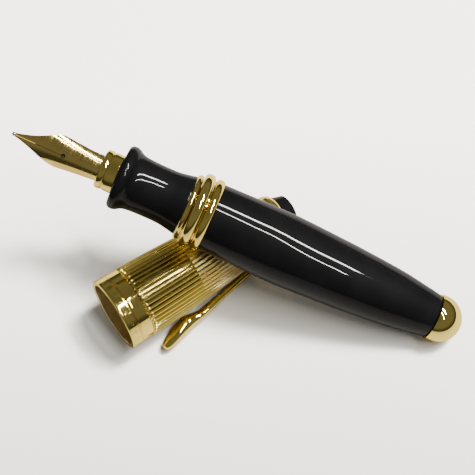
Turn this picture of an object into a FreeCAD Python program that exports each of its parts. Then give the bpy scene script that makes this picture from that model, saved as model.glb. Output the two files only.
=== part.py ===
# Pocket fountain pen lying uncapped: the cap lies on the floor and the pen leans across it.
# Millimetres, +Z up, floor at Z = 0. Every piece is built on its own axis (local Z), then placed.
#   pen axis: local Z = 0 at the centre of the tail ball, rising towards the nib
#   cap axis: local Z = 0 at the rim of the mouth, rising towards the finial
import FreeCAD as App
import Part
import math
import os

V = App.Vector

# ---- where the two axes lie --------------------------------------------------
FOOTPRINT_MIDDLE = (29.01, -6.478)   # taken off every position, so the origin is the footprint's middle
CAP_REST_STATION = 27.0             # station of the cap that touches the floor
BALL_CENTRE = (53.74, -39.53)       # tail ball, also on the floor
PEN_HEADING = 124.66                # pen axis seen from above, degrees from +X
PEN_LEAN = 19.36                    # pen axis above the floor
NIB_ROLL = -44.6                    # top of the nib, turned about the pen axis from straight up
CLIP_ANGLE = 36.0                   # clip below horizontal, on the -Y side of the cap

# ---- cap ---------------------------------------------------------------------
MOUTH_R = 8.0
BORE_R = 7.0                        # straight bore the section slips into
BORE_END = 17.2
LIP_BAND_END = 2.5
GROOVE_GAP = 0.1                    # scribed line between lip band and shell
SHELL_END = 40.2
SHELL_WALL = 0.5
FLUTES = 48
FLUTE_FROM, FLUTE_TO = 5.6, 38.8
FLUTE_DEPTH = 0.28
FLUTE_SHARE = 0.5                   # groove width as a share of the pitch
CLIP_RING_END = 41.0
CROWN_END = 42.36
FINIAL_END = 45.33
FINIAL_R, FINIAL_TOP_R = 4.07, 3.2
SCREW_R = 1.5
SCREW_HEAD_R = 2.6

# ---- pen ---------------------------------------------------------------------
BALL_R = 4.95
STUD_R = 2.0
BARREL_PROFILE = [(1.4, 4.62), (4.0, 5.06), (10.4, 5.97), (19.3, 6.68), (25.2, 7.0),
                  (34.6, 7.38), (42.5, 7.27), (50.8, 7.06)]
BARREL_TAIL_R = 4.3                 # flat tail face, with a small rounded edge up to the profile
BARREL_BORE_R = 4.9
BUSH_FROM, BUSH_TO, BUSH_R = 42.0, 52.85, 5.6
THREAD_R = 4.70                     # sleeve that screws into the bush
RUNNING = 0.08                      # radial clearance of turning and sliding fits
SECTION_FROM = 56.5
SECTION_PROFILE = [(56.5, 6.30), (58.2, 5.95), (60.4, 5.62), (63.8, 5.57), (66.0, 5.64), (67.6, 5.80),
                   (68.4, 6.08), (69.1, 6.52), (69.8, 6.75), (70.5, 6.72), (71.0, 6.45), (71.2, 6.15)]
SECTION_FRONT = 71.2
COLLAR_R, COLLAR_FRONT = 4.07, 75.1
NIB_SEAT_R = 3.6
NIB_BASE_R, NIB_T = 2.95, 0.34
NIB_ROOT_Z = 75.6                   # from here forward the bent sheet flattens out evenly
NIB_TIP_Z, NIB_TIP_Y = 93.25, 2.87
NIB_END_R = 11.6                    # cross radius of the sheet at the tip end
NIB_OUTLINE = [(75.6, 2.80), (78.2, 3.02), (80.9, 3.25), (83.2, 3.49), (83.9, 3.51), (84.8, 3.30),
               (86.2, 2.79), (88.8, 1.61), (91.5, 0.69), (93.25, 0.30)]
BREATHER = (82.56, 0.47)            # station and radius of the breather hole
SLIT = 0.10


def spline(points):
    curve = Part.BSplineCurve()
    curve.interpolate([V(r, 0, z) for z, r in points])
    return curve.toShape()


def turned(outer, inner, smooth_outer=False, smooth_inner=False):
    """Ring or rod turned about local Z from an outer and an inner list of (z, r), both rising in z."""
    edges = []
    for pts, smooth in ((outer, smooth_outer), (inner, smooth_inner)):
        if smooth:
            edges.append(spline(pts))
        else:
            for (za, ra), (zb, rb) in zip(pts, pts[1:]):
                edges.append(Part.makeLine(V(ra, 0, za), V(rb, 0, zb)))
    for end in (0, -1):
        (za, ra), (zb, rb) = outer[end], inner[end]
        if abs(za - zb) + abs(ra - rb) > 1e-6:
            edges.append(Part.makeLine(V(ra, 0, za), V(rb, 0, zb)))
    wire = Part.Wire(Part.__sortEdges__(edges))
    solid = Part.Face(wire).revolve(V(0, 0, 0), V(0, 0, 1), 360)
    return solid


def tube(z0, z1, r_out, r_in=0.0, chamfer=0.0):
    c = chamfer
    outer = [(z0, r_out - c), (z0 + c, r_out), (z1 - c, r_out), (z1, r_out - c)] if c else [(z0, r_out), (z1, r_out)]
    return turned(outer, [(z0, r_in), (z1, r_in)])


def half_round(z0, z1, r_out, r_in, swell):
    """Washer whose rim is a round bead standing `swell` above its corners."""
    rim = Part.Arc(V(r_out - swell, 0, z0), V(r_out, 0, 0.5 * (z0 + z1)), V(r_out - swell, 0, z1)).toShape()
    lines = [Part.makeLine(V(r_out - swell, 0, z1), V(r_in, 0, z1)),
             Part.makeLine(V(r_in, 0, z1), V(r_in, 0, z0)),
             Part.makeLine(V(r_in, 0, z0), V(r_out - swell, 0, z0))]
    return Part.Face(Part.Wire([rim] + lines)).revolve(V(0, 0, 0), V(0, 0, 1), 360)


def prism(points, plane, low, high):
    """Closed outline extruded across: plane 'xz' runs along Y, plane 'yz' runs along X."""
    if plane == "xz":
        at, along = [V(a, low, z) for z, a in points], V(0, high - low, 0)
    else:
        at, along = [V(low, a, z) for z, a in points], V(high - low, 0, 0)
    return Part.Face(Part.makePolygon(at + at[:1])).extrude(along)


def place(shape, origin, axis, top):
    """Stand local Z along `axis` and local Y as close to `top` as it goes."""
    ez = V(*axis).normalize()
    ey = V(*top)
    ey = (ey - ez * ey.dot(ez)).normalize()
    ex = ey.cross(ez)
    m = App.Matrix(ex.x, ey.x, ez.x, origin.x, ex.y, ey.y, ez.y, origin.y, ex.z, ey.z, ez.z, origin.z, 0, 0, 0, 1)
    out = shape.copy()
    out.Placement = App.Placement(m).multiply(shape.Placement)
    return out


# ================================ CAP =========================================
def cap_r(z):
    return MOUTH_R - 0.00069 * z - 0.001589 * z * z


def cap_line(z0, z1, less=0.0, count=9):
    return [(z0 + (z1 - z0) * i / (count - 1), cap_r(z0 + (z1 - z0) * i / (count - 1)) - less)
            for i in range(count)]


shell_from = LIP_BAND_END + GROOVE_GAP
cap = {}
cap["cap_lip_band"] = turned([(0, MOUTH_R - 0.25), (0.25, MOUTH_R), (LIP_BAND_END, cap_r(LIP_BAND_END)),
                              (LIP_BAND_END, MOUTH_R - 0.4), (shell_from, MOUTH_R - 0.4)],
                             [(0, BORE_R + 0.2), (0.2, BORE_R), (shell_from, BORE_R)])

hollow = turned(cap_line(BORE_END, SHELL_END, SHELL_WALL), [(BORE_END, 0), (SHELL_END, 0)], True)
shell = turned(cap_line(shell_from, SHELL_END), [(shell_from, 0), (SHELL_END, 0)], True)
shell = shell.cut(tube(shell_from - 1, BORE_END, BORE_R)).cut(hollow)
groove_line = cap_line(FLUTE_FROM, FLUTE_TO, FLUTE_DEPTH)
groove_top = [(FLUTE_FROM, MOUTH_R + 1), (FLUTE_TO, MOUTH_R + 1)]
groove_edges = [spline(groove_line), Part.makeLine(V(groove_line[-1][1], 0, FLUTE_TO), V(MOUTH_R + 1, 0, FLUTE_TO)),
                Part.makeLine(V(MOUTH_R + 1, 0, FLUTE_TO), V(MOUTH_R + 1, 0, FLUTE_FROM)),
                Part.makeLine(V(MOUTH_R + 1, 0, FLUTE_FROM), V(groove_line[0][1], 0, FLUTE_FROM))]
pitch = 360.0 / FLUTES
flute = Part.Face(Part.Wire(groove_edges)).revolve(V(0, 0, 0), V(0, 0, 1), pitch * FLUTE_SHARE)
flutes = []
for i in range(FLUTES):
    one = flute.copy()
    one.rotate(V(0, 0, 0), V(0, 0, 1), i * pitch)
    flutes.append(one)
cap["cap_shell"] = shell.cut(Part.makeCompound(flutes))

liner = turned(cap_line(BORE_END, SHELL_END, SHELL_WALL), [(BORE_END, 0), (SHELL_END, 0)], True)
liner = liner.cut(turned([(BORE_END - 0.5, 6.6), (BORE_END + 1.3, 5.6), (38.9, 4.35)],
                         [(BORE_END - 0.5, 0), (BORE_END + 1.3, 0), (38.9, 0)]))
cap["cap_liner"] = liner.cut(tube(38, SHELL_END + 1, SCREW_R))
screw_head = tube(38.1, 38.9, SCREW_HEAD_R, 0, 0.15).cut(
    Part.makeBox(0.5, 4.2, 0.4, V(-0.25, -2.1, 38.1)))
cap["finial_screw"] = screw_head.fuse(tube(38.9, 43.9, SCREW_R)).removeSplitter()
cap["clip_ring"] = tube(SHELL_END, CLIP_RING_END, 5.30, SCREW_R, 0.1)
cap["crown_ring"] = turned([(CLIP_RING_END, 5.22), (41.35, 5.12), (41.75, 4.88), (42.1, 4.52), (CROWN_END, 4.1)],
                           [(CLIP_RING_END, SCREW_R), (CROWN_END, SCREW_R)], True)
finial = turned([(CROWN_END, FINIAL_R), (44.6, FINIAL_TOP_R + 0.12), (45.0, FINIAL_TOP_R - 0.1),
                 (45.22, 2.4), (FINIAL_END, 0.0)], [(CROWN_END, 0), (FINIAL_END, 0)])
cap["finial"] = finial.cut(tube(CROWN_END - 1, 43.9, SCREW_R))

# Clip: stations along the cap, (z, middle radius, half thickness, half width), local Y is outwards.
CLIP_STATIONS = [(40.75, 6.05, 0.50, 1.05), (38.5, 6.40, 0.54, 1.12), (34.0, 6.93, 0.60, 1.20),
                 (29.2, 7.52, 0.68, 1.30), (23.0, 8.56, 0.78, 1.50), (18.0, 9.40, 0.92, 1.75),
                 (15.6, 9.80, 1.00, 1.95), (14.7, 9.54, 1.44, 2.12), (12.8, 9.65, 1.68, 2.28),
                 (10.4, 10.22, 1.58, 2.25), (8.2, 10.95, 1.38, 1.95), (6.9, 11.35, 1.15, 1.50),
                 (6.2, 11.50, 0.80, 1.00), (5.9, 11.55, 0.35, 0.45)]
wires = []
for z, mid, half_t, half_w in CLIP_STATIONS:
    major, minor = max(half_t, half_w), min(half_t, half_w)
    ring = Part.Ellipse(V(0, mid, z), major, minor)
    wires.append(Part.Wire(ring.toShape()))
arm = Part.makeLoft(wires, True, True)
tab = Part.makeBox(2.0, 1.2, CLIP_RING_END - SHELL_END - 0.1, V(-1.0, 5.35, SHELL_END + 0.05))
clip = arm.fuse(tab).removeSplitter()

# ================================ PEN =========================================
barrel = turned([(1.0, BARREL_TAIL_R), (1.12, BARREL_TAIL_R + 0.18), BARREL_PROFILE[0]],
                [(1.0, 0), (1.12, 0), (BARREL_PROFILE[0][0], 0)])
barrel = barrel.fuse(turned(BARREL_PROFILE, [(BARREL_PROFILE[0][0], 0), (50.8, 0)], True))
barrel = barrel.cut(tube(14.0, 51.0, BARREL_BORE_R, 0, 0)).cut(tube(BUSH_FROM, 51.0, BUSH_R))
pen = {}
pen["barrel"] = barrel.cut(tube(0.5, 9.0, STUD_R)).removeSplitter()
pen["barrel_bush"] = tube(BUSH_FROM, BUSH_TO, BUSH_R, THREAD_R + RUNNING)
pen["rear_ring"] = half_round(50.8, 52.65, 7.65, BUSH_R, 0.75).fuse(tube(52.65, 52.9, 6.95, BUSH_R)).removeSplitter()
pen["centre_ring"] = half_round(53.0, 55.15, 7.9, THREAD_R + RUNNING, 0.8)
pen["front_ring"] = half_round(55.25, 56.45, 6.95, THREAD_R + RUNNING, 0.5)
ball = Part.makeSphere(BALL_R).common(tube(-6, 1.0, 6.0))
pen["tail_ball"] = ball.cut(tube(-3.0, 2.0, STUD_R))
pen["tail_stud"] = tube(-2.9, 8.9, STUD_R, 0, 0.2)

section = turned(SECTION_PROFILE, [(SECTION_FROM, 0), (SECTION_FRONT, 0)], True)
section = section.cut(tube(SECTION_FROM - 1, 61.0, THREAD_R)).cut(tube(60.0, 63.0, 1.95))
pen["section"] = section.cut(tube(62.6, SECTION_FRONT + 1, NIB_SEAT_R + 0.05))
pen["section_sleeve"] = tube(43.0, 61.0, THREAD_R, 3.75, 0.2)

TANK_FROM, TANK_TO, TANK_R, TANK_BORE = 36.0, 60.9, 3.5, 2.8
pen["converter_tank"] = tube(TANK_FROM, TANK_TO, TANK_R, 0, 0.2).cut(
    tube(TANK_FROM - 1, 59.4, TANK_BORE)).cut(tube(59, 62, 1.9))
pen["converter_collar"] = tube(31.0, 39.5, 3.9, 2.5, 0.2).cut(tube(34.8, 40.0, TANK_R))
knob = tube(18.0, 30.9, 3.3, 0, 0.3).fuse(tube(30.9, 34.4, 2.42, 0, 0.1))
KNOB_FLUTES = 16
for i in range(KNOB_FLUTES):
    a = 2 * math.pi * i / KNOB_FLUTES
    knob = knob.cut(Part.makeCylinder(0.32, 10.5, V(3.42 * math.cos(a), 3.42 * math.sin(a), 19.2)))
pen["converter_knob"] = knob.cut(tube(17, 35, 1.1))
pen["piston_rod"] = tube(20.0, 38.2, 1.0, 0, 0.15)
pen["piston_head"] = tube(38.2, 43.0, 2.55, 0, 0.25).cut(tube(39.6, 41.2, 3.5, 2.2))
pen["piston_seal"] = half_round(39.6, 41.2, 2.76, 2.2, 0.3)

# Nib unit, local Y is the top of the nib.
collar = tube(63.0, SECTION_FRONT + 0.1, NIB_SEAT_R, NIB_BASE_R + 0.03)
collar = collar.fuse(turned([(71.3, 4.0), (71.5, COLLAR_R), (73.2, COLLAR_R), (73.35, COLLAR_R - 0.22),
                             (73.55, COLLAR_R - 0.22), (73.7, COLLAR_R), (74.4, COLLAR_R - 0.02),
                             (74.85, COLLAR_R - 0.22), (COLLAR_FRONT, COLLAR_R - 0.6)],
                            [(71.3, NIB_BASE_R + 0.03), (COLLAR_FRONT, NIB_BASE_R + 0.03)]))
pen["nib_collar"] = collar.removeSplitter()

def nib_bend(z):
    """Cross radius of the nib sheet and height of its ridge above the pen axis."""
    share = max(0.0, (z - NIB_ROOT_Z) / (NIB_TIP_Z - NIB_ROOT_Z))
    radius = 1.0 / ((1.0 - share) / NIB_BASE_R + share / NIB_END_R)
    return radius, NIB_BASE_R + share * (NIB_TIP_Y - NIB_BASE_R)


def bent_arc(z, half, less):
    """Arc across the nib at station z, `less` under its upper face, and its two ends."""
    radius, ridge = nib_bend(z)
    angle = math.asin(half / radius)
    mid = ridge - radius
    r = radius - less
    ends = [V(side * r * math.sin(angle), mid + r * math.cos(angle), z) for side in (-1, 1)]
    return Part.Arc(ends[0], V(0, mid + r, z), ends[1]).toShape(), ends


def sheet_section(z, half):
    top, a = bent_arc(z, half, 0.0)
    under, b = bent_arc(z, half, NIB_T)
    return Part.Wire([top, Part.makeLine(a[1], b[1]), under, Part.makeLine(b[0], a[0])])


def feed_section(z, half):
    top, a = bent_arc(z, half, NIB_T + 0.04)
    low = [V(end.x, -3.0, z) for end in a]
    return Part.Wire([top, Part.makeLine(a[1], low[1]), Part.makeLine(low[1], low[0]), Part.makeLine(low[0], a[0])])


stations = []
for (za, wa), (zb, wb) in zip(NIB_OUTLINE, NIB_OUTLINE[1:]):
    steps = max(1, round((zb - za) / 0.9))
    stations += [(za + (zb - za) * i / steps, wa + (wb - wa) * i / steps) for i in range(steps)]
stations.append(NIB_OUTLINE[-1])
sheet = Part.makeLoft([sheet_section(z, half) for z, half in stations], True, True)
base = tube(66.0, NIB_ROOT_Z, NIB_BASE_R, NIB_BASE_R - NIB_T).common(Part.makeBox(8, 4, 12, V(-4, 0.93, 65)))
TIP_AT = V(0, NIB_TIP_Y - 0.15, NIB_TIP_Z - 0.15)
TIP_R = 0.42
nib = sheet.fuse(base)
nib = nib.cut(Part.makeCylinder(BREATHER[1], 8, V(0, 0, BREATHER[0]), V(0, 1, 0)))
nib = nib.cut(Part.makeBox(SLIT, 8, 14, V(-SLIT / 2, 0, BREATHER[0])))
tipping = Part.makeSphere(TIP_R, TIP_AT)
pen["nib"] = nib.cut(tipping)
pen["nib_tip"] = tipping

feed_stations = [COLLAR_FRONT + 0.1, NIB_ROOT_Z] + [77.0 + 1.5 * i for i in range(9)]
feed = Part.makeLoft([feed_section(z, 2.7) for z in feed_stations], True, True)
feed = feed.common(prism([(75.0, 2.3), (82.0, 2.0), (86.5, 1.1), (88.6, 0.45), (88.6, -0.45), (86.5, -1.1),
                          (82.0, -2.0), (75.0, -2.3)], "xz", -5, 5))
feed = feed.common(prism([(75.0, -2.3), (80.0, -1.6), (85.0, -0.2), (88.2, 1.4), (88.6, 2.0), (88.6, 4.0),
                          (75.0, 4.0)], "yz", -5, 5))
FIN_COUNT, FIN_PITCH = 8, 1.05
for i in range(FIN_COUNT):
    z = 76.2 + i * FIN_PITCH
    feed = feed.cut(Part.makeBox(6, 3.0, 0.42, V(-3, -3.4 + 0.16 * i, z)))
feed = feed.common(tube(70.0, 90.0, 2.55))
feed = feed.fuse(tube(63.5, 75.3, 2.55))
pen["feed"] = feed.fuse(tube(60.0, 63.5, 1.85)).removeSplitter()

# ================================ PLACE AND WRITE =============================
slope = math.atan(0.00069 + 2 * 0.001589 * CAP_REST_STATION)
cap_axis = (math.cos(slope), 0.0, -math.sin(slope))
mouth_height = cap_r(CAP_REST_STATION) * math.cos(slope) + CAP_REST_STATION * math.sin(slope)
cap_at = V(-FOOTPRINT_MIDDLE[0], -FOOTPRINT_MIDDLE[1], mouth_height)
down = math.radians(CLIP_ANGLE)
clip_out = (-math.sin(down) * math.sin(slope), -math.cos(down), -math.sin(down) * math.cos(slope))

heading, lean = math.radians(PEN_HEADING), math.radians(PEN_LEAN)
pen_axis = V(math.cos(heading) * math.cos(lean), math.sin(heading) * math.cos(lean), math.sin(lean))
pen_at = V(BALL_CENTRE[0] - FOOTPRINT_MIDDLE[0], BALL_CENTRE[1] - FOOTPRINT_MIDDLE[1], BALL_R)
upright = (V(0, 0, 1) - pen_axis * pen_axis.z).normalize()
sideways = pen_axis.cross(upright)
roll = math.radians(NIB_ROLL)
nib_top = upright * math.cos(roll) + sideways * math.sin(roll)

os.makedirs("parts", exist_ok=True)
for name, shape in cap.items():
    place(shape, cap_at, cap_axis, clip_out).exportStep("parts/" + name + ".step")
place(clip, cap_at, cap_axis, clip_out).exportStep("parts/clip.step")
for name, shape in pen.items():
    place(shape, pen_at, pen_axis, nib_top).exportStep("parts/" + name + ".step")
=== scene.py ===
"""Pocket fountain pen lying uncapped on a pale desk, leaning across its fluted gold cap."""
import math

import bmesh
import bpy
from mathutils import Matrix, Vector


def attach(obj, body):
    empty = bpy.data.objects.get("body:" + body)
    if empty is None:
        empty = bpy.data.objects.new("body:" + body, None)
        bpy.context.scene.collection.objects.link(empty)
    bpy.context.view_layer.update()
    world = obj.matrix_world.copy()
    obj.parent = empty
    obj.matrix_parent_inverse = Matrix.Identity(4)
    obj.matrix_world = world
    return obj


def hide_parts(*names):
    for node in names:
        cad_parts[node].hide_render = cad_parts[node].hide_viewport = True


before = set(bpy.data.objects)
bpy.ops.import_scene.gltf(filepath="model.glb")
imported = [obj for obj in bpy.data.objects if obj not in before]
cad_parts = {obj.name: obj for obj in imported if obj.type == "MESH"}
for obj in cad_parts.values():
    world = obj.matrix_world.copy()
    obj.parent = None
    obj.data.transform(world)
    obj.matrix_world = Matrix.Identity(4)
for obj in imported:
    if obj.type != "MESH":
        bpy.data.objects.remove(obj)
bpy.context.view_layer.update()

MM = 0.001

# ---- the two axes, in millimetres, as in the CAD frame -------------------------
FOOTPRINT_MIDDLE = (29.01, -6.478)
CAP_REST_STATION = 27.0
BALL_CENTRE = (53.74, -39.53)
BALL_R = 4.95
PEN_HEADING, PEN_LEAN, NIB_ROLL = 124.66, 19.36, -44.6
CLIP_ANGLE = 36.0


MOUTH_R, CAP_TAPER, CAP_BOW = 8.0, 0.00069, 0.001589


def cap_r(z):
    """Outer radius of the cap at a station from its mouth."""
    return MOUTH_R - CAP_TAPER * z - CAP_BOW * z * z


def frame_matrix(origin, axis, top):
    ez = Vector(axis).normalized()
    ey = Vector(top)
    ey = (ey - ez * ey.dot(ez)).normalized()
    ex = ey.cross(ez)
    m = Matrix((ex, ey, ez)).transposed().to_4x4()
    m.translation = Vector(origin) * MM
    return m


slope = math.atan(CAP_TAPER + 2 * CAP_BOW * CAP_REST_STATION)
down = math.radians(CLIP_ANGLE)
clip_out = (-math.sin(down) * math.sin(slope), -math.cos(down), -math.sin(down) * math.cos(slope))
mouth_height = cap_r(CAP_REST_STATION) * math.cos(slope) + CAP_REST_STATION * math.sin(slope)
CAP = frame_matrix((-FOOTPRINT_MIDDLE[0], -FOOTPRINT_MIDDLE[1], mouth_height),
                   (math.cos(slope), 0, -math.sin(slope)), clip_out)

heading, lean, roll = (math.radians(a) for a in (PEN_HEADING, PEN_LEAN, NIB_ROLL))
pen_axis = Vector((math.cos(heading) * math.cos(lean), math.sin(heading) * math.cos(lean), math.sin(lean)))
upright = (Vector((0, 0, 1)) - pen_axis * pen_axis.z).normalized()
nib_top = upright * math.cos(roll) + pen_axis.cross(upright) * math.sin(roll)
PEN = frame_matrix((BALL_CENTRE[0] - FOOTPRINT_MIDDLE[0], BALL_CENTRE[1] - FOOTPRINT_MIDDLE[1], BALL_R),
                   pen_axis, nib_top)


# ================================ materials ====================================
class Nodes:
    """Short hand for building a node tree."""

    def __init__(self, name, at=None):
        self.mat = bpy.data.materials.new(name)
        self.mat.use_nodes = True
        self.tree = self.mat.node_tree
        self.bsdf = self.tree.nodes["Principled BSDF"]
        self.coord = self.tree.nodes.new("ShaderNodeTexCoord").outputs["Object"]
        if at is not None:                  # from the row frame to the piece's own axis
            own = at.inverted()
            self.coord = self.node("Mapping", {"Vector": self.coord, "Location": own.translation,
                                               "Rotation": own.to_euler()}).outputs[0]

    def node(self, kind, inputs=(), **settings):
        n = self.tree.nodes.new("ShaderNode" + kind)
        for key, value in settings.items():
            setattr(n, key, value)
        for key, value in dict(inputs).items():
            if isinstance(value, bpy.types.NodeSocket):
                self.tree.links.new(value, n.inputs[key])
            else:
                n.inputs[key].default_value = value
        return n

    def math(self, op, a, b=0.0, clamp=False):
        n = self.node("Math", {0: a, 1: b}, operation=op, use_clamp=clamp)
        return n.outputs[0]

    def noise(self, scale, detail=3.0, rough=0.5, vector=None):
        return self.node("TexNoise", {"Vector": vector or self.coord, "Scale": scale, "Detail": detail,
                                      "Roughness": rough}).outputs["Fac"]

    def stretch(self, x, y, z):
        return self.node("Mapping", {"Vector": self.coord, "Scale": (x, y, z)}).outputs[0]

    def span(self, fac, low, high, from_low=0.3, from_high=0.7):
        return self.node("MapRange", {"Value": fac, "From Min": from_low, "From Max": from_high,
                                      "To Min": low, "To Max": high}).outputs[0]

    def mix(self, fac, a, b):
        n = self.node("Mix", {"Factor": fac}, data_type="RGBA")
        for i, value in ((6, a), (7, b)):
            if isinstance(value, bpy.types.NodeSocket):
                self.tree.links.new(value, n.inputs[i])
            else:
                n.inputs[i].default_value = (*value, 1.0)
        return n.outputs[2]

    def bump(self, height, depth_mm, strength=1.0, normal=None):
        inputs = {"Height": height, "Distance": depth_mm * MM, "Strength": strength}
        if normal is not None:
            inputs["Normal"] = normal
        return self.node("Bump", inputs).outputs[0]

    def set(self, **sockets):
        for key, value in sockets.items():
            name = key.replace("_", " ")
            if isinstance(value, bpy.types.NodeSocket):
                self.tree.links.new(value, self.bsdf.inputs[name])
            else:
                self.bsdf.inputs[name].default_value = value
        return self.mat

    def polar(self):
        """Angle round local Z in turns, and the station along it in millimetres."""
        xyz = self.node("SeparateXYZ", {0: self.coord}).outputs
        turn = self.math("DIVIDE", self.math("ARCTAN2", xyz[1], xyz[0]), 2 * math.pi)
        return turn, self.math("MULTIPLY", xyz[2], 1000.0), xyz

    def inside(self, value, low, high, soft):
        rise = self.node("MapRange", {"Value": value, "From Min": low - soft,
                                      "From Max": low + soft}).outputs[0]
        fall = self.node("MapRange", {"Value": value, "From Min": high - soft, "From Max": high + soft,
                                      "To Min": 1.0, "To Max": 0.0}).outputs[0]
        return self.math("MULTIPLY", rise, fall)


GOLD, GOLD_WARM = (0.93, 0.745, 0.20), (0.88, 0.675, 0.165)
BORE_GOLD = (0.80, 0.65, 0.34)
GOLD_EDGE, WHITE_EDGE = (0.96, 0.86, 0.52, 1.0), (1.0, 1.0, 1.0, 1.0)
# The second figure is painted shade: the share of the dark gold that engraved cuts and flute valleys are darkened
# towards.
BORE_DULL, CUT_PAINTED_SHADE = 0.30, 0.14


def metal(name, at, light, dark, rough=(0.02, 0.06), turned=0.0, extra=None, bore_r=0.0, edge=GOLD_EDGE):
    """Plated or bare metal; inside `bore_r` of its axis it is left satin and duller.

    `extra` engraves it, and gives back the normal, where the cuts are, how far they darken
    and how much they dull; the darkening is painted shade in the cuts.
    """
    n = Nodes(name, at)
    cloud = n.noise(260.0, 4.0)
    fine = n.noise(1800.0, 4.0, 0.6)
    smear = n.noise(1.0, 3.0, vector=n.stretch(300.0, 300.0, 2600.0))
    normal = n.bump(fine, 0.0006, 0.25)
    if turned:
        rings = n.noise(1.0, 2.0, vector=n.stretch(40.0, 40.0, 9000.0))
        normal = n.bump(rings, turned, 0.5, normal)
    colour, sheen = n.mix(n.span(cloud, 0.0, 1.0), light, dark), n.span(smear, rough[0], rough[1])
    if extra:
        normal, shade, cut_shade_depth, dull = extra(n, normal)
        # Painted shade: engraved cuts and flute valleys are darkened towards a deep gold.
        colour = n.mix(n.math("MULTIPLY", shade, cut_shade_depth), colour, tuple(CUT_PAINTED_SHADE * c for c in dark))
        sheen = n.math("ADD", sheen, n.math("MULTIPLY", shade, dull))
    if bore_r:
        xyz = n.polar()[2]
        squares = [n.math("MULTIPLY", xyz[k], xyz[k]) for k in (0, 1)]
        away = n.math("SQRT", n.math("ADD", squares[0], squares[1]))
        within = n.math("LESS_THAN", away, bore_r * MM)
        sheen = n.math("ADD", sheen, n.math("MULTIPLY", within, BORE_DULL))
        colour = n.mix(within, colour, BORE_GOLD)
    return n.set(Base_Color=colour, Metallic=1.0, Roughness=sheen, Normal=normal, Specular_Tint=edge)


def resin(name, at, colour, lighter, rough=(0.02, 0.05), gloss=0.0):
    """Dark plastic; `gloss` puts a polished lacquer over it instead of its own sheen."""
    n = Nodes(name, at)
    cloud = n.noise(180.0, 4.0)
    haze = n.noise(1.0, 4.0, 0.6, n.stretch(1400.0, 1400.0, 300.0))
    hair = n.noise(5200.0, 2.0)
    skin, sheen = n.bump(hair, 0.0004, 0.2), n.span(haze, rough[0], rough[1])
    if gloss:
        n.set(Coat_Weight=gloss, Coat_Roughness=sheen, Coat_Normal=skin)
    return n.set(Base_Color=n.mix(n.span(cloud, 0.0, 1.0), colour, lighter), Normal=skin,
                 Roughness=0.6 if gloss else sheen, Specular_IOR_Level=0.05 if gloss else 0.4)


def hatched(n, normal):
    """Fine cross cuts in the valleys between the flutes of the cap, which are also painted darker as painted shade."""
    turn, station, _ = n.polar()
    phase = n.math("FRACT", n.math("ADD", n.math("MULTIPLY", turn, FLUTES), FLUTES + 0.5))
    valley = n.inside(phase, 0.31, 0.69, 0.04)
    zone = n.math("MULTIPLY", valley, n.inside(station, FLUTE_FROM + 0.3, FLUTE_TO - 0.3, 0.1))
    cuts = n.math("PINGPONG", n.math("MULTIPLY", station, 1.0 / HATCH_PITCH), 0.5)
    return n.bump(n.math("MULTIPLY", cuts, zone), 0.03, 0.5, normal), zone, 0.88, 0.12


def band_ornament(n, normal):
    """Shallow row of lozenges, each with a small filled centre, engraved round the lip band of the cap; the cuts are
    painted darker, a painted shade.
    """
    turn, station, _ = n.polar()
    u = n.math("PINGPONG", n.math("ADD", n.math("MULTIPLY", turn, 22.0), 44.0), 0.5)
    v = n.math("ABSOLUTE", n.math("SUBTRACT", station, 1.35))
    lozenge = n.math("ADD", n.math("MULTIPLY", u, 2.6), v)
    outline = n.inside(lozenge, 0.55, 0.72, 0.05)
    centre = n.math("LESS_THAN", lozenge, 0.24)
    rail = n.math("ADD", n.inside(station, 0.38, 0.50, 0.03), n.inside(station, 2.16, 2.28, 0.03))
    cut = n.math("MAXIMUM", n.math("MAXIMUM", outline, centre), rail)
    return n.bump(n.math("SUBTRACT", 1.0, cut), 0.02, 0.4, normal), cut, 0.45, 0.15


def nib_ornament(n, normal):
    """Engraved border line with ticks outside it and a fine wavy line within, on the rear half of the nib; the lines
    are painted darker, a painted shade.
    """
    _, station, xyz = n.polar()
    x = n.math("ABSOLUTE", n.math("MULTIPLY", xyz[0], 1000.0))
    edge = n.math("SUBTRACT", x, n.math("MULTIPLY", n.math("SUBTRACT", station, 76.0), 0.09))
    line = n.inside(edge, 1.62, 1.74, 0.03)
    ticks = n.math("PINGPONG", n.math("MULTIPLY", station, 2.6), 0.5)
    ticks = n.math("MULTIPLY", n.inside(ticks, 0.30, 0.50, 0.05), n.inside(edge, 1.80, 2.45, 0.05))
    wave = n.math("MULTIPLY", n.math("SINE", n.math("MULTIPLY", station, 3.6)), 0.22)
    scroll = n.inside(n.math("ADD", n.math("SUBTRACT", x, 1.0), wave), -0.06, 0.06, 0.04)
    drawn = n.math("MAXIMUM", line, n.math("MAXIMUM", ticks, scroll))
    cut = n.math("MULTIPLY", drawn, n.inside(station, 75.8, 84.0, 0.2))
    brushed = n.bump(n.noise(1.0, 4.0, 0.6, n.stretch(2600.0, 2600.0, 90.0)), 0.012, 0.35, normal)
    return n.bump(n.math("SUBTRACT", 1.0, cut), 0.015, 0.35, brushed), cut, 0.55, 0.15


FLUTES, FLUTE_FROM, FLUTE_TO, HATCH_PITCH = 48, 5.5, 39.0, 0.34

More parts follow.
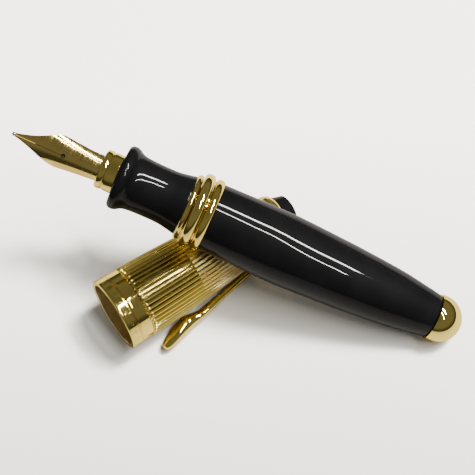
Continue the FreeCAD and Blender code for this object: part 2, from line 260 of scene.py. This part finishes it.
gold_cap = metal("gold_cap", CAP, GOLD, GOLD_WARM)
gold_pen = metal("gold_pen", PEN, GOLD, GOLD_WARM)
gold_fluted = metal("gold_fluted", CAP, GOLD, GOLD_WARM, (0.02, 0.05), extra=hatched, bore_r=7.1)
gold_band = metal("gold_band", CAP, GOLD, GOLD_WARM, extra=band_ornament, bore_r=7.1)
gold_nib = metal("gold_nib", PEN, (0.90, 0.70, 0.21), (0.84, 0.62, 0.17), (0.05, 0.16), extra=nib_ornament)
brass = metal("turned_brass", PEN, (0.72, 0.52, 0.22), (0.60, 0.41, 0.15), (0.18, 0.32), turned=0.03)
steel_cap = metal("steel_screw", CAP, (0.62, 0.61, 0.60), (0.48, 0.47, 0.46), (0.16, 0.30), turned=0.02,
                  edge=WHITE_EDGE)
steel_pen = metal("steel_rod", PEN, (0.62, 0.61, 0.60), (0.48, 0.47, 0.46), (0.16, 0.30), turned=0.02,
                  edge=WHITE_EDGE)
chrome = metal("chrome_collar", PEN, (0.78, 0.79, 0.80), (0.68, 0.69, 0.70), edge=WHITE_EDGE)
tip_metal = metal("tip_alloy", PEN, (0.66, 0.62, 0.52), (0.52, 0.48, 0.40), (0.12, 0.22), edge=WHITE_EDGE)
black_cap = resin("black_finial", CAP, (0.0010, 0.0010, 0.0012), (0.0020, 0.0019, 0.0022), gloss=0.30)
black_pen = resin("black_resin", PEN, (0.0010, 0.0010, 0.0012), (0.0020, 0.0019, 0.0022), gloss=0.30)
satin_cap = resin("satin_liner", CAP, (0.012, 0.012, 0.013), (0.020, 0.020, 0.021), (0.32, 0.46))
satin_pen = resin("satin_knob", PEN, (0.012, 0.012, 0.013), (0.020, 0.020, 0.021), (0.32, 0.46))
feed_black = resin("feed_ebonite", PEN, (0.010, 0.009, 0.009), (0.018, 0.017, 0.016), (0.28, 0.42))
rubber = resin("seal_rubber", PEN, (0.020, 0.020, 0.020), (0.034, 0.033, 0.032), (0.62, 0.80))


def clear_plastic():
    n = Nodes("clear_tank", PEN)
    cloud = n.noise(240.0, 3.0)
    return n.set(Base_Color=n.mix(n.span(cloud, 0.0, 1.0), (0.90, 0.93, 0.94), (0.82, 0.86, 0.88)),
                 Roughness=n.span(n.noise(900.0), 0.03, 0.10), Transmission_Weight=0.92, IOR=1.49,
                 Normal=n.bump(n.noise(1500.0), 0.002, 0.3))


clear = clear_plastic()


# ================================ mesh builders ================================
def piece(name, verts, faces, at, body, material, nodes, sharp=32.0):
    mesh = bpy.data.meshes.new(name)
    mesh.from_pydata([at @ Vector((x * MM, y * MM, z * MM)) for x, y, z in verts], [], faces)
    bm = bmesh.new()
    bm.from_mesh(mesh)
    bmesh.ops.remove_doubles(bm, verts=bm.verts, dist=1e-8)
    bmesh.ops.recalc_face_normals(bm, faces=bm.faces)
    bm.to_mesh(mesh)
    bm.free()
    mesh.shade_smooth()
    mesh.set_sharp_from_angle(angle=math.radians(sharp))
    obj = bpy.data.objects.new(name, mesh)
    bpy.context.scene.collection.objects.link(obj)
    mesh.materials.append(material)
    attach(obj, body)
    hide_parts(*nodes)
    return obj


def smooth_line(points, per_span=8):
    """Points joined by a curve whose slope at each point is that of its neighbours."""
    out = []
    for i in range(len(points) - 1):
        (z0, r0), (z1, r1) = points[i], points[i + 1]
        h = z1 - z0

        def slope_at(j):
            a, b = points[max(j - 1, 0)], points[min(j + 1, len(points) - 1)]
            return (b[1] - a[1]) / (b[0] - a[0])
        s0, s1 = slope_at(i), slope_at(i + 1)
        for k in range(per_span):
            t = k / per_span
            out.append((z0 + h * t, (2 * t ** 3 - 3 * t ** 2 + 1) * r0 + (t ** 3 - 2 * t ** 2 + t) * h * s0
                        + (3 * t ** 2 - 2 * t ** 3) * r1 + (t ** 3 - t ** 2) * h * s1))
    return out + [points[-1]]


def arc(z, r, radius, start, end, count=7):
    """Points on a circle in the (z, r) plane; 0 degrees points along +z, 90 outwards."""
    return [(z + radius * math.cos(math.radians(start + (end - start) * i / (count - 1))),
             r + radius * math.sin(math.radians(start + (end - start) * i / (count - 1))))
            for i in range(count)]


def turned(name, loop, at, body, material, nodes, segments=128, wave=None, sharp=32.0):
    """Closed outline of (z, r), or one that starts and ends on the axis, turned about local Z."""
    verts, faces, rows = [], [], []
    for z, r in loop:
        if r < 1e-6:
            rows.append([len(verts)] * segments)
            verts.append((0, 0, z))
            continue
        rows.append(list(range(len(verts), len(verts) + segments)))
        for i in range(segments):
            a = 2 * math.pi * i / segments
            rr = wave(a, z, r) if wave else r
            verts.append((rr * math.cos(a), rr * math.sin(a), z))
    closed = loop[0][1] >= 1e-6
    for j in range(len(rows) if closed else len(rows) - 1):
        low, high = rows[j], rows[(j + 1) % len(rows)]
        for i in range(segments):
            k = (i + 1) % segments
            quad = [low[i], low[k], high[k], high[i]]
            face = [v for n, v in enumerate(quad) if v != quad[n - 1]]
            if len(face) > 2:
                faces.append(face)
    return piece(name, verts, faces, at, body, material, nodes, sharp)


def rounded(z0, z1, r_out, r_in, edge=0.12):
    """Outline of a tube or rod with small rounded edges."""
    loop = [(z0, r_in)] + arc(z0 + edge, r_out - edge, edge, 180, 90, 5)
    loop += arc(z1 - edge, r_out - edge, edge, 90, 0, 5) + [(z1, r_in)]
    return loop


def bead(z0, z1, r_out, r_in, swell):
    """Washer with a round rim."""
    mid, half = (z0 + z1) / 2, (z1 - z0) / 2
    rim = [(mid - half * math.cos(math.pi * i / 16), r_out - swell + swell * math.sin(math.pi * i / 16))
           for i in range(17)]
    return [(z0, r_in)] + rim + [(z1, r_in)]


def thread(lead, depth, starts=1):
    """Helical ripple for a threaded surface."""
    def wave(a, z, r):
        phase = (z / lead - a * starts / (2 * math.pi)) % 1.0
        return r - depth * (1 - abs(2 * phase - 1)) if r > THREAD_FROM else r
    return wave


THREAD_FROM = 4.5       # surfaces wider than this carry the thread ripple

# ================================ cap ==========================================
RAIL = 0.12             # the plain bands lie this much below the tops of the flutes


FLUTE_WIDTH, FLUTE_DEPTH = 0.62, 0.34     # share of the pitch, and millimetres


def fluting(a, z, r):
    """Raised flutes with round ends on the outer skin of the cap."""
    if r < cap_r(z) - 0.45 or not FLUTE_FROM - 0.3 < z < FLUTE_TO + 0.3:
        return r
    pitch = 2 * math.pi / FLUTES
    across = abs((a / pitch) % 1.0 - 0.5) * 2            # 0 on the flute, 1 in the valley
    side = across / FLUTE_WIDTH
    past = max(FLUTE_FROM + 0.45 - z, z - FLUTE_TO + 0.45, 0.0) / 0.55
    reach = math.hypot(side, past)
    height = math.sqrt(max(0.0, 1 - reach ** 2.4)) if reach < 1 else 0.0
    return cap_r(z) - FLUTE_DEPTH * (1 - height) if past < 1.2 else r


def fine_steps(z0, z1, step):
    count = max(1, round((z1 - z0) / step))
    return [z0 + (z1 - z0) * i / count for i in range(count + 1)]


stations = ([2.62, 2.70] + fine_steps(3.0, FLUTE_FROM - 0.4, 0.6)
            + fine_steps(FLUTE_FROM - 0.15, FLUTE_FROM + 0.75, 0.06)
            + fine_steps(FLUTE_FROM + 1.2, FLUTE_TO - 1.2, 0.8)
            + fine_steps(FLUTE_TO - 0.75, FLUTE_TO + 0.15, 0.07)
            + [39.5, 40.0, 40.2])
outer = [(z, cap_r(z) - RAIL) for z in stations]
outer[0] = (2.60, cap_r(2.6) - RAIL - 0.06)
SHELL_WALL = 0.5
inner = [(z, cap_r(z) - SHELL_WALL) for z in (40.2, 36, 32, 28, 24, 20, 17.25)] + [(17.2, 7.0), (2.6, 7.0)]
turned("cap_shell_fluted", outer + inner, CAP, "cap", gold_fluted, ["cap_shell"], FLUTES * 16, fluting)

lip = [(2.6, 7.0), (0.2, 7.0)] + arc(0.22, 7.22, 0.22, 270, 180, 4) + [(0.0, 7.7)]
lip += arc(0.25, 7.70, 0.25, 180, 90, 5)[1:] + [(z, 7.95) for z in (0.6, 1.0, 1.4, 1.8, 2.2)]
lip += [(2.44, 7.95), (2.5, 7.88), (2.52, 7.62), (2.6, 7.60)]
turned("cap_lip_engraved", lip, CAP, "cap", gold_band, ["cap_lip_band"], 192)

liner_out = [(z, cap_r(z) - 0.5) for z in (17.2, 20, 24, 28, 32, 36, 40.2)]
turned("cap_liner_cup", [(38.9, 1.5), (38.9, 4.35), (18.5, 5.6), (17.3, 6.42)] + liner_out + [(40.2, 1.5)],
       CAP, "cap", satin_cap, ["cap_liner"])
turned("clip_ring_band", rounded(40.2, 41.0, 5.30, 1.5, 0.12), CAP, "cap", gold_cap, ["clip_ring"])
crown = smooth_line([(41.0, 5.22), (41.35, 5.13), (41.75, 4.90), (42.1, 4.54), (42.30, 4.20)], 5)
turned("crown_ring_dome", [(41.0, 1.5)] + crown + [(42.36, 4.08), (42.36, 1.5)], CAP, "cap", gold_cap,
       ["crown_ring"])
finial = [(43.9, 0.0), (43.9, 1.5), (42.36, 1.5), (42.36, 4.0)] + arc(42.44, 3.98, 0.08, 180, 90, 3)
finial += [(44.5, 3.34)] + arc(44.72, 2.80, 0.50, 75, 20, 7) + [(45.28, 2.2), (45.33, 1.2), (45.33, 0.0)]
turned("finial_button", finial, CAP, "cap", black_cap, ["finial"])
screw = [(38.1, 0.0), (38.1, 2.45), (38.25, 2.6), (38.75, 2.6), (38.9, 2.45), (38.9, 1.5)]
screw += [(38.9 + 0.25 * i, 1.5 if i % 2 else 1.34) for i in range(1, 20)] + [(43.8, 0.0)]
turned("finial_screw_turned", screw, CAP, "cap", steel_cap, ["finial_screw"], 64)

# Clip: (station, middle radius, half thickness, half width), local Y outwards from the cap.
# station, distance from the cap's axis, half thickness, half width
CLIP_STATIONS = [(40.72, 6.05, 0.48, 1.02), (38.5, 6.40, 0.53, 1.10), (34.0, 6.93, 0.59, 1.18),
                 (29.2, 7.52, 0.67, 1.28), (23.0, 8.56, 0.77, 1.48), (18.0, 9.40, 0.91, 1.70),
                 (16.4, 9.66, 0.95, 1.74), (14.8, 9.62, 1.22, 1.86), (12.8, 9.70, 1.58, 2.16),
                 (10.4, 10.24, 1.56, 2.22), (8.2, 10.96, 1.36, 1.93), (6.9, 11.36, 1.12, 1.50),
                 (6.2, 11.50, 0.78, 1.00), (5.92, 11.55, 0.40, 0.52)]
CLIP_SQUARE = 0.86     # below 1 the clip's section is squarer than an ellipse


def clip_mesh():
    zs = [-s[0] for s in CLIP_STATIONS]
    lines = [smooth_line([(z, s[k]) for z, s in zip(zs, CLIP_STATIONS)], 7) for k in (1, 2, 3)]
    around, verts, faces = 40, [], []
    for (z, mid), (_, thick), (_, wide) in zip(*lines):
        for i in range(around):
            a = 2 * math.pi * i / around
            c, s = math.cos(a), math.sin(a)
            c, s = math.copysign(abs(c) ** CLIP_SQUARE, c), math.copysign(abs(s) ** CLIP_SQUARE, s)
            verts.append((wide * c, mid + thick * s, -z))
    count = len(verts) // around
    for j in range(count - 1):
        for i in range(around):
            k = (i + 1) % around
            faces.append((j * around + i, j * around + k, (j + 1) * around + k, (j + 1) * around + i))
    faces.append(tuple(range(around)))
    faces.append(tuple(range((count - 1) * around, count * around)))
    tab = len(verts)
    for z in (40.3, 40.9):
        for y in (5.38, 6.4):
            for x in (-0.95, 0.95):
                verts.append((x, y, z))
    for face in ((0, 1, 3, 2), (4, 5, 7, 6), (0, 1, 5, 4), (2, 3, 7, 6), (0, 2, 6, 4), (1, 3, 7, 5)):
        faces.append(tuple(tab + v for v in face))
    piece("clip_leaf", verts, faces, CAP, "clip", gold_cap, ["clip"], 40)


clip_mesh()

# ================================ barrel and rings =============================
BARREL_PROFILE = [(1.4, 4.62), (4.0, 5.06), (10.4, 5.97), (19.3, 6.68), (25.2, 7.0), (34.6, 7.38),
                  (42.5, 7.27), (50.8, 7.06)]
barrel = [(9.0, 0.0), (9.0, 2.0), (1.0, 2.0), (1.0, 4.3), (1.06, 4.42), (1.2, 4.53)]
barrel += smooth_line(BARREL_PROFILE, 9)
barrel += [(50.8, 5.6), (42.0, 5.6), (42.0, 4.9), (14.0, 4.9), (14.0, 0.0)]
turned("barrel_body", barrel, PEN, "barrel", black_pen, ["barrel"], 192)

bush = [(42.0, 4.78)] + arc(42.15, 5.45, 0.15, 180, 90, 4) + [(52.85, 5.6)]
bush += [(52.85 - 0.5 * i, 4.78 if i % 2 else 4.95) for i in range(0, 22)]
turned("barrel_bush_threaded", bush, PEN, "barrel", brass, ["barrel_bush"])
rear = [(50.8, 5.6)] + bead(50.8, 52.65, 7.65, 5.6, 0.75)[1:-1]
rear += [(52.66, 6.92), (52.7, 6.95), (52.9, 6.95), (52.9, 5.6)]
turned("rear_ring_bead", rear, PEN, "barrel", gold_pen, ["rear_ring"], 160)
turned("centre_ring_bead", bead(53.0, 55.15, 7.9, 4.78, 0.8), PEN, "centre_ring", gold_pen, ["centre_ring"], 160)
turned("front_ring_bead", bead(55.25, 56.45, 6.95, 4.78, 0.5), PEN, "front_ring", gold_pen, ["front_ring"], 160)

cut = math.degrees(math.acos(1.0 / BALL_R))
ball = [(1.0, 2.0)] + arc(0.0, 0.0, BALL_R, cut, 180, 33)
ball = ball[:-1] + [(-BALL_R, 0.0), (-2.9, 0.0), (-2.9, 2.0)]
turned("tail_ball_dome", ball, PEN, "barrel", gold_pen, ["tail_ball"], 128)
stud = [(-2.9, 0.0), (-2.9, 1.8), (-2.7, 2.0), (1.0, 2.0)]
stud += [(1.0 + 0.3 * i, 2.0 if i % 2 == 0 else 1.8) for i in range(1, 26)] + [(8.9, 1.8), (8.9, 0.0)]
turned("tail_stud_turned", stud, PEN, "barrel", brass, ["tail_stud"], 64)

# ================================ section and converter ========================
SECTION_PROFILE = [(56.5, 6.30), (58.2, 5.95), (60.4, 5.62), (63.8, 5.57), (66.0, 5.64), (67.6, 5.80),
                   (68.4, 6.08), (69.1, 6.52), (69.8, 6.75), (70.5, 6.72), (71.0, 6.45), (71.2, 6.15)]
section = [(56.5, 4.7), (56.5, 6.24)] + smooth_line(SECTION_PROFILE, 8)[1:] + [(71.2, 3.72), (71.13, 3.65)]
section += [(62.6, 3.65), (62.6, 1.95), (61.0, 1.95), (61.0, 4.7)]
turned("section_grip", section, PEN, "section", black_pen, ["section"], 192)

sleeve = [(43.0, 3.75), (43.0, 4.5), (43.2, 4.7)] + [(z, 4.7) for z in fine_steps(43.3, 55.6, 0.1)]
sleeve += [(55.8, 4.6), (61.0, 4.6), (61.0, 3.75)]
turned("section_sleeve_threaded", sleeve, PEN, "section", brass, ["section_sleeve"], 96, thread(1.0, 0.22, 2))
tank = rounded(36.0, 60.9, 3.5, 0.0, 0.2)[1:-1]
turned("converter_tank_clear", [(36.0, 2.8)] + tank + [(60.9, 1.9), (59.4, 1.9), (59.4, 2.8)],
       PEN, "section", clear, ["converter_tank"], 96)
collar = [(31.0, 2.5)] + arc(31.2, 3.7, 0.2, 180, 90, 5) + [(33.0, 3.9), (33.1, 3.75), (33.4, 3.75), (33.5, 3.9)]
collar += arc(39.3, 3.7, 0.2, 90, 0, 5) + [(39.5, 3.5), (34.8, 3.5), (34.8, 2.5)]
turned("converter_collar_band", collar, PEN, "section", chrome, ["converter_collar"], 96)


def knob_flutes(a, z, r):
    return r - 0.20 * (0.5 + 0.5 * math.cos(16 * a)) ** 2 if r > 3.2 and 19.0 < z < 29.8 else r


knob = [(18.0, 1.1), (18.0, 3.0), (18.15, 3.21), (18.3, 3.3)]
knob += [(z, 3.3) for z in (18.9, 19.1, 22, 26, 29.7, 29.9, 30.6)]
knob += [(30.75, 3.24), (30.9, 3.1), (30.9, 2.42), (34.3, 2.42), (34.4, 2.3), (34.4, 1.1)]
turned("converter_knob_fluted", knob, PEN, "knob", satin_pen, ["converter_knob"], 128, knob_flutes)
rod = [(20.0, 0.0), (20.0, 0.85)] + [(20.15 + 0.25 * i, 1.0 if i % 2 == 0 else 0.86) for i in range(72)]
turned("piston_rod_threaded", rod + [(38.2, 1.0), (38.2, 0.0)], PEN, "piston", steel_pen, ["piston_rod"], 48)
head = [(38.2, 0.0), (38.2, 2.3), (38.45, 2.55), (39.6, 2.55), (39.6, 2.2), (41.2, 2.2), (41.2, 2.55), (42.75, 2.55)]
turned("piston_head_plug", head + [(43.0, 2.3), (43.0, 0.0)], PEN, "piston", satin_pen, ["piston_head"], 64)
turned("piston_seal_ring", bead(39.6, 41.2, 2.75, 2.2, 0.3), PEN, "piston", rubber, ["piston_seal"], 64)

# ================================ nib unit =====================================
NIB_R, NIB_T, NIB_END_R = 2.95, 0.34, 11.6
ROOT_Z, TIP_Z, TIP_Y = 75.6, 93.25, 2.87
BREATHER_Z, BREATHER_R = 82.56, 0.47
OUTLINE = [(75.6, 2.80), (78.2, 3.02), (80.9, 3.25), (82.7, 3.44), (83.6, 3.52), (84.3, 3.45), (85.0, 3.22),
           (86.2, 2.77), (88.8, 1.61), (91.5, 0.69), (92.7, 0.40), (93.15, 0.27)]
collar = [(63.0, 2.98), (63.0, 3.45), (63.15, 3.6), (71.2, 3.6), (71.3, 3.98), (71.42, 4.06), (73.15, 4.07)]
collar += [(73.25, 4.02), (73.33, 3.87), (73.57, 3.87), (73.65, 4.02), (73.75, 4.07), (74.3, 4.07)]
collar += arc(74.45, 3.42, 0.64, 88, 8, 9) + [(75.1, 2.98)]
turned("nib_collar_band", collar, PEN, "nib_unit", gold_pen, ["nib_collar"], 128)

def sheet_point(x, z, less):
    """Point of the bent nib sheet, `less` under its upper face."""
    share = max(0.0, (z - ROOT_Z) / (TIP_Z - ROOT_Z))
    radius = 1.0 / ((1.0 - share) / NIB_R + share / NIB_END_R)
    ridge = NIB_R + share * (TIP_Y - NIB_R)
    angle = math.asin(min(1.0, x / radius))
    return (radius - less) * math.sin(angle), ridge - radius + (radius - less) * math.cos(angle)


def nib_mesh():
    edge = dict()
    rows = fine_steps(66.0, 75.6, 1.6) + fine_steps(76.0, 82.0, 0.5) + fine_steps(82.2, 93.15, 0.15)
    line = smooth_line(OUTLINE, 12)

    def half_width(z):
        if z <= ROOT_Z:
            return 2.80
        for (za, wa), (zb, wb) in zip(line, line[1:]):
            if za <= z <= zb:
                return wa + (wb - wa) * (z - za) / (zb - za)
        return line[-1][1]
    cols, verts, faces = 16, [], []

    def vert(j, i, side, face):
        z = rows[j]
        split = z > BREATHER_Z + 0.1
        key = (j, i, side if (i or split) else 0, face)
        if key not in edge:
            w = half_width(z)
            gap = min(0.045, w * 0.3) if split else 0.0
            x = gap + (w - gap) * math.sin(0.5 * math.pi * i / cols) ** 0.9
            less = 0.0 if face == 0 else NIB_T * (1 - 0.35 * max(0.0, (z - 86) / 8))
            x, y = sheet_point(x, z, less)
            edge[key] = len(verts)
            verts.append((side * x if (i or split) else 0.0, y, z))
        return edge[key]

    for side in (-1, 1):
        for j in range(len(rows) - 1):
            for i in range(cols):
                for f in (0, 1):
                    quad = [vert(j, i, side, f), vert(j, i + 1, side, f),
                            vert(j + 1, i + 1, side, f), vert(j + 1, i, side, f)]
                    faces.append(quad)
            faces.append([vert(j, cols, side, 0), vert(j + 1, cols, side, 0),
                          vert(j + 1, cols, side, 1), vert(j, cols, side, 1)])
            if rows[j + 1] > BREATHER_Z + 0.1:
                faces.append([vert(j, 0, side, 0), vert(j + 1, 0, side, 0),
                              vert(j + 1, 0, side, 1), vert(j, 0, side, 1)])
        for j in (0, len(rows) - 1):
            for i in range(cols):
                faces.append([vert(j, i, side, 0), vert(j, i + 1, side, 0),
                              vert(j, i + 1, side, 1), vert(j, i, side, 1)])
    return piece("nib_sheet", verts, faces, PEN, "nib_unit", gold_nib, ["nib"], 40)


nib = nib_mesh()


def bore(target, at, z, radius):
    """Cuts a round hole through the target along local Y and keeps the result."""
    mesh = bpy.data.meshes.new("drill")
    bm = bmesh.new()
    bmesh.ops.create_cone(bm, cap_ends=True, segments=40, radius1=radius * MM, radius2=radius * MM, depth=6 * MM)
    bm.to_mesh(mesh)
    bm.free()
    drill = bpy.data.objects.new("drill", mesh)
    bpy.context.scene.collection.objects.link(drill)
    drill.matrix_world = at @ Matrix.Translation((0, 3 * MM, z * MM)) @ Matrix.Rotation(math.pi / 2, 4, "X")
    cut = target.modifiers.new("breather", "BOOLEAN")
    cut.operation, cut.solver, cut.object = "DIFFERENCE", "EXACT", drill
    bpy.context.view_layer.update()
    done = bpy.data.meshes.new_from_object(target.evaluated_get(bpy.context.evaluated_depsgraph_get()))
    target.modifiers.remove(cut)
    target.data = done
    done.set_sharp_from_angle(angle=math.radians(40))
    bpy.data.objects.remove(drill)


bore(nib, PEN, BREATHER_Z, BREATHER_R)

TIP_BALL_Y, TIP_BALL_Z = 2.72, 93.10
tip = [(TIP_BALL_Z - 0.42, 0.0)] + [(TIP_BALL_Z - 0.42 * math.cos(math.pi * i / 14), 0.40 * math.sin(math.pi * i / 14))
                                    for i in range(1, 14)] + [(TIP_BALL_Z + 0.42, 0.0)]
turned("nib_tipping", tip, PEN @ Matrix.Translation((0, TIP_BALL_Y * MM, 0)), "nib_unit", tip_metal, ["nib_tip"], 32)

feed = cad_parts["feed"]
feed.data.materials.clear()
feed.data.materials.append(feed_black)
feed.data.shade_smooth()
feed.data.set_sharp_from_angle(angle=math.radians(30))

# ================================ desk, light, camera ==========================
DESK_SIZE = 8.0
# Painted shade: the desk is painted darker towards one side and paler away from it, a painted fall-off of the lamps'
# light.
DESK_PAINTED_SHADE, DESK_FAR = (0.42, 0.405, 0.37), (0.93, 0.90, 0.845)
SHADE_TOWARD, SHADE_FROM, SHADE_TO = (0.62, 0.78), -0.075, 0.045     # painted light fall-off: the span over which the desk is painted from dark to pale


def desk_material(name, share=1.0):
    n = Nodes(name)
    # Painted shade: a share below 1 gives a darker copy of the desk, used for the sheet that only reflections see.
    painted_dark, far = tuple(share * c for c in DESK_PAINTED_SHADE), tuple(share * c for c in DESK_FAR)
    cloud = n.noise(2.2, 4.0, 0.6)
    grain = n.noise(900.0, 4.0, 0.6)
    xyz = n.node("SeparateXYZ", {0: n.coord}).outputs
    along = n.math("ADD", n.math("MULTIPLY", xyz[0], SHADE_TOWARD[0]), n.math("MULTIPLY", xyz[1], SHADE_TOWARD[1]))
    # Painted light fall-off along the desk.
    paper = n.mix(n.span(along, 0.0, 1.0, SHADE_FROM, SHADE_TO), painted_dark, far)
    tone = n.mix(n.span(cloud, 0.0, 0.06), paper, painted_dark)
    return n.set(Base_Color=tone, Roughness=n.span(grain, 0.42, 0.55), Specular_IOR_Level=0.35,
                 Normal=n.bump(grain, 0.01, 0.15))


bpy.ops.mesh.primitive_plane_add(size=DESK_SIZE, location=(0, 0, 0))
desk = bpy.context.object
desk.name = "desk"
desk.data.materials.append(desk_material("desk_paper"))
desk.visible_glossy = False

# Polished faces see only this nearer sheet, with the dim room beyond its edges; the sheet is the desk painted darker,
# a painted shade that only reflections show.
SHEET_LOW, SHEET_HIGH, SHEET_Z, SHEET_PAINTED_DIM = (-0.100, -0.150), (0.170, 0.160), 0.00002, 0.42
sheet_mesh = bpy.data.meshes.new("desk_sheet")
sheet_mesh.from_pydata([(x, y, SHEET_Z) for x, y in (SHEET_LOW, (SHEET_HIGH[0], SHEET_LOW[1]), SHEET_HIGH,
                                                     (SHEET_LOW[0], SHEET_HIGH[1]))], [], [(0, 1, 2, 3)])
sheet_mesh.materials.append(desk_material("desk_paper_painted_dim", SHEET_PAINTED_DIM))
sheet = bpy.data.objects.new("desk_sheet", sheet_mesh)
bpy.context.scene.collection.objects.link(sheet)
sheet.visible_camera = sheet.visible_diffuse = sheet.visible_shadow = sheet.visible_transmission = False

ROOM_FILL = 1.9        # how much of the room's glow reaches matt surfaces
world = bpy.data.worlds.new("room")
world.use_nodes = True
bpy.context.scene.world = world
wt = world.node_tree
geo = wt.nodes.new("ShaderNodeTexCoord")
split = wt.nodes.new("ShaderNodeSeparateXYZ")
ramp = wt.nodes.new("ShaderNodeValToRGB")
wt.links.new(geo.outputs["Generated"], split.inputs[0])
wt.links.new(split.outputs["Z"], ramp.inputs[0])
wt.links.new(ramp.outputs[0], wt.nodes["Background"].inputs[0])
ray = wt.nodes.new("ShaderNodeLightPath")
strength = wt.nodes.new("ShaderNodeMapRange")
strength.inputs["To Min"].default_value, strength.inputs["To Max"].default_value = 1.0, ROOM_FILL
wt.links.new(ray.outputs["Is Diffuse Ray"], strength.inputs["Value"])
wt.links.new(strength.outputs[0], wt.nodes["Background"].inputs["Strength"])
ROOM = [(0.0, 0.05), (0.10, 0.07), (0.28, 0.16), (0.60, 0.17), (1.0, 0.13)]
while len(ramp.color_ramp.elements) < len(ROOM):
    ramp.color_ramp.elements.new(0.5)
for element, (at, level) in zip(ramp.color_ramp.elements, ROOM):
    element.position = at
    element.color = (level, level, level * 0.97, 1)


def lamp(name, at, aim, size, power, shown=True, colour=(1.0, 0.98, 0.95)):
    light = bpy.data.lights.new(name, "AREA")
    light.shape, light.size, light.size_y = "RECTANGLE", size[0], size[1]
    light.energy, light.color = power, colour
    obj = bpy.data.objects.new(name, light)
    bpy.context.scene.collection.objects.link(obj)
    obj.location = at
    obj.rotation_euler = aim
    obj.visible_glossy = shown
    obj.visible_camera = False
    return obj


def toward(start, end):
    """Rotation of a strip hung level, its long side (local X) running from start to end, shining down."""
    return (0, 0, math.atan2(end[1] - start[1], end[0] - start[0]))


TUBES = [((1.17, 0.10), (1.15, -1.05)), ((0.55, -0.35), (0.25, -1.60))]
TUBE_HEIGHT, TUBE_WIDE, TUBE_POWER = 2.0, (0.150, 0.042), (110.0, 46.0)
for i, (start, end) in enumerate(TUBES):
    centre = ((start[0] + end[0]) / 2, (start[1] + end[1]) / 2, TUBE_HEIGHT)
    lamp(f"tube_{i}", centre, toward(start, end), (math.dist(start, end), TUBE_WIDE[i]), TUBE_POWER[i])

SOFT_AT, SOFT_SIZE, SOFT_POWER = Vector((1.05, -0.30, 2.0)), (0.35, 0.65), 175.0
lamp("ceiling_soft", SOFT_AT, SOFT_AT.to_track_quat("Z", "Y").to_euler(), SOFT_SIZE, SOFT_POWER, shown=False)

# Camera: above and in front of the object, turned a little, seen with a moderate lens.
CAM_AT = (-47.27, -95.93, 214.84)
CAM_AZ, CAM_EL, CAM_ROLL = -25.90, 61.27, -10.50
LENS = 83.65
az_, el_, ro_ = (math.radians(a) for a in (CAM_AZ, CAM_EL, CAM_ROLL))
back = Vector((math.sin(az_) * math.cos(el_), -math.cos(az_) * math.cos(el_), math.sin(el_)))
right = Vector((math.cos(az_), math.sin(az_), 0))
up = right.cross(-back)
right, up = right * math.cos(ro_) + up * math.sin(ro_), up * math.cos(ro_) - right * math.sin(ro_)
view = Matrix((right, up, back)).transposed().to_4x4()
view.translation = Vector(CAM_AT) * MM
camera_data = bpy.data.cameras.new("camera")
camera_data.lens, camera_data.sensor_width, camera_data.clip_start = LENS, 36.0, 0.005
camera = bpy.data.objects.new("camera", camera_data)
bpy.context.scene.collection.objects.link(camera)
camera.matrix_world = view
bpy.context.scene.camera = camera
